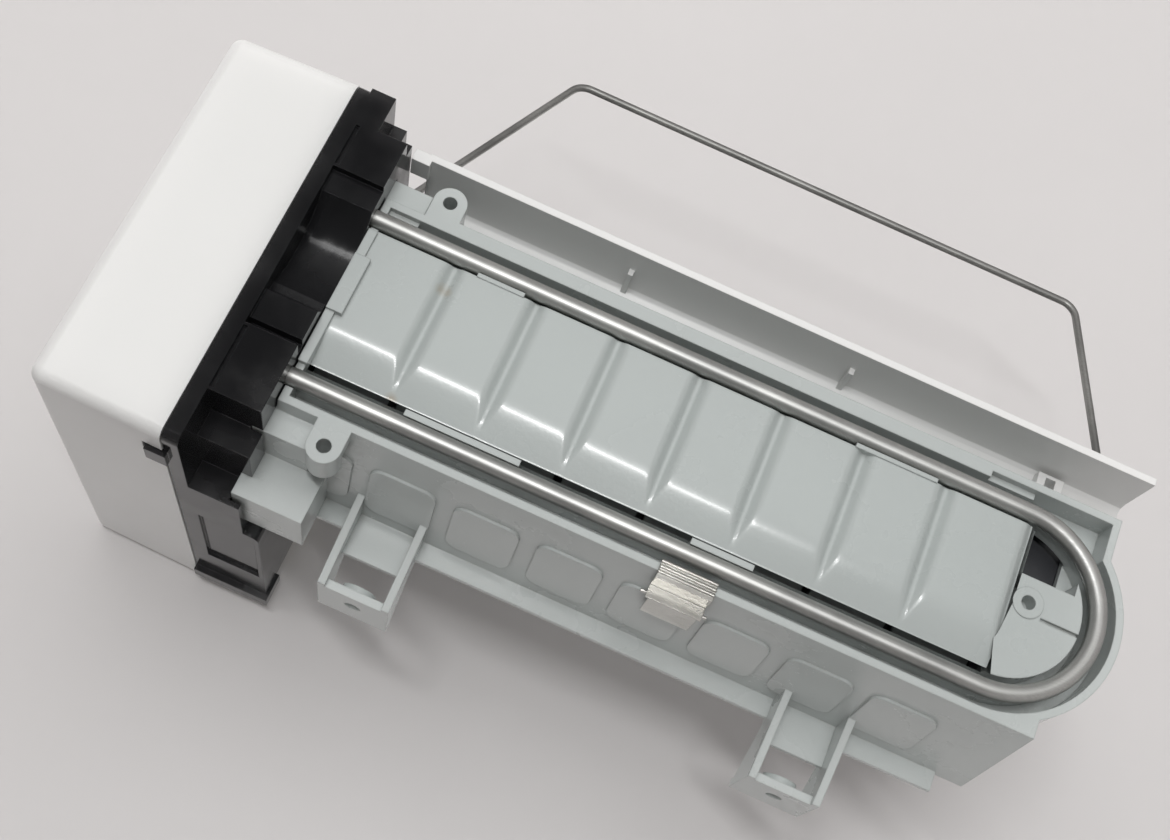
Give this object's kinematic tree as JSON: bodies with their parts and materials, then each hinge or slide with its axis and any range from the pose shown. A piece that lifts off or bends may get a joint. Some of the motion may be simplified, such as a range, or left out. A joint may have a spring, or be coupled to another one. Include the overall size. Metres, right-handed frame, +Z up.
{
  "type": "ice maker",
  "caption": "Crescent ice maker for a refrigerator: heated cast mould, turning ejector, stripper, wire shut-off arm and a boxed drive module; hangs on a wall by two brackets.",
  "frame": {"origin": "midway between the two hanging screws, on the plane of the wall", "axes": "+X along the row of cavities from the control end to the inlet end, +Y into the wall, +Z up in use"},
  "size_m": [0.2872, 0.1856, 0.1338],
  "materials": {
    "coated_casting": "smooth grey release coating over cast aluminium, soft gloss",
    "sheath_steel": "drawn steel sheath, satin",
    "tin_plate": "tin plated",
    "black_plastic": "glossy black moulded plastic",
    "white_plastic": "white moulded plastic, soft gloss",
    "dark_nylon": "filled nylon, dark grey",
    "dark_plastic": "black moulded plastic, satin",
    "nylon": "natural nylon",
    "brass": "machined",
    "plate_steel": "zinc plated sheet",
    "motor_steel": "pressed steel can",
    "screw_steel": "zinc plated",
    "spring_steel": "spring steel",
    "wire_steel": "drawn wire, grey",
    "switch_plastic": "moulded phenolic",
    "red_plastic": "moulded",
    "socket_plastic": "natural nylon socket"
  },
  "bodies": {
    "frame": {"mold_body": "coated_casting", "heater_tube": "sheath_steel", "heater_terminals": "tin_plate", "support_housing": "black_plastic", "mold_screws": "screw_steel", "idler_pin": "screw_steel", "module_plate": "plate_steel", "gear_motor": "motor_steel", "motor_screws": "screw_steel", "plate_screws": "screw_steel", "holding_switch": "switch_plastic", "water_switch": "switch_plastic", "shutoff_switch": "switch_plastic", "switch_screws": "screw_steel", "thermostat": "tin_plate", "thermostat_clip": "spring_steel", "connector_socket": "socket_plastic", "connector_pins": "tin_plate", "stripper": "white_plastic", "stripper_screws": "screw_steel", "fill_cup": "dark_plastic", "fuse_clip": "spring_steel", "thermal_fuse": "tin_plate"},
    "ejector_drive": {"ejector": "dark_nylon", "cam_gear": "nylon"},
    "idler": {"idler_gear": "nylon"},
    "pinion": {"motor_pinion": "brass"},
    "arm": {"shutoff_arm": "wire_steel", "shutoff_lever": "nylon"},
    "holding_button": {"holding_plunger": "red_plastic"},
    "water_button": {"water_plunger": "red_plastic"},
    "shutoff_button": {"shutoff_plunger": "red_plastic"},
    "dial": {"water_adjust_screw": "nylon"},
    "cover": {"control_cover": "white_plastic"}
  },
  "joints": [
    {"name": "ejector_spin", "type": "hinge", "parent": "frame", "child": "ejector_drive", "pos_m": [-0.0985, -0.0635, -0.011], "axis": [1, 0, 0], "continuous": true},
    {"name": "idler_spin", "type": "hinge", "parent": "frame", "child": "idler", "pos_m": [-0.1305, -0.05145, 0.02609], "axis": [1, 0, 0], "continuous": true},
    {"name": "pinion_spin", "type": "hinge", "parent": "frame", "child": "pinion", "pos_m": [-0.1305, -0.05509, 0.04677], "axis": [1, 0, 0], "continuous": true},
    {"name": "arm_swing", "type": "hinge", "parent": "frame", "child": "arm", "pos_m": [-0.0985, -0.1159, -0.017], "axis": [1, 0, 0], "range_deg": [0, 58]},
    {"name": "holding_press", "type": "slide", "parent": "frame", "child": "holding_button", "axis": [0, 1, 0], "range_m": [0, 0.0009], "stiffness_N_per_m": 400, "springref_m": -0.001},
    {"name": "water_press", "type": "slide", "parent": "frame", "child": "water_button", "axis": [0, 0, -1], "range_m": [0, 0.0009], "stiffness_N_per_m": 400, "springref_m": -0.001},
    {"name": "shutoff_press", "type": "slide", "parent": "frame", "child": "shutoff_button", "axis": [0, 1, 0], "range_m": [0, 0.0009], "stiffness_N_per_m": 400, "springref_m": -0.001},
    {"name": "dial_turn", "type": "hinge", "parent": "frame", "child": "dial", "pos_m": [-0.1285, -0.0975, -0.042], "axis": [1, 0, 0], "range_deg": [-180, 180]},
    {"name": "cover_pull", "type": "slide", "parent": "frame", "child": "cover", "axis": [-1, 0, 0], "range_m": [0, 0.07]}
  ],
  "couplings": [
    {"joint": "idler_spin", "follows": "ejector_spin", "ratio": -1.6},
    {"joint": "pinion_spin", "follows": "ejector_spin", "ratio": 4}
  ]
}
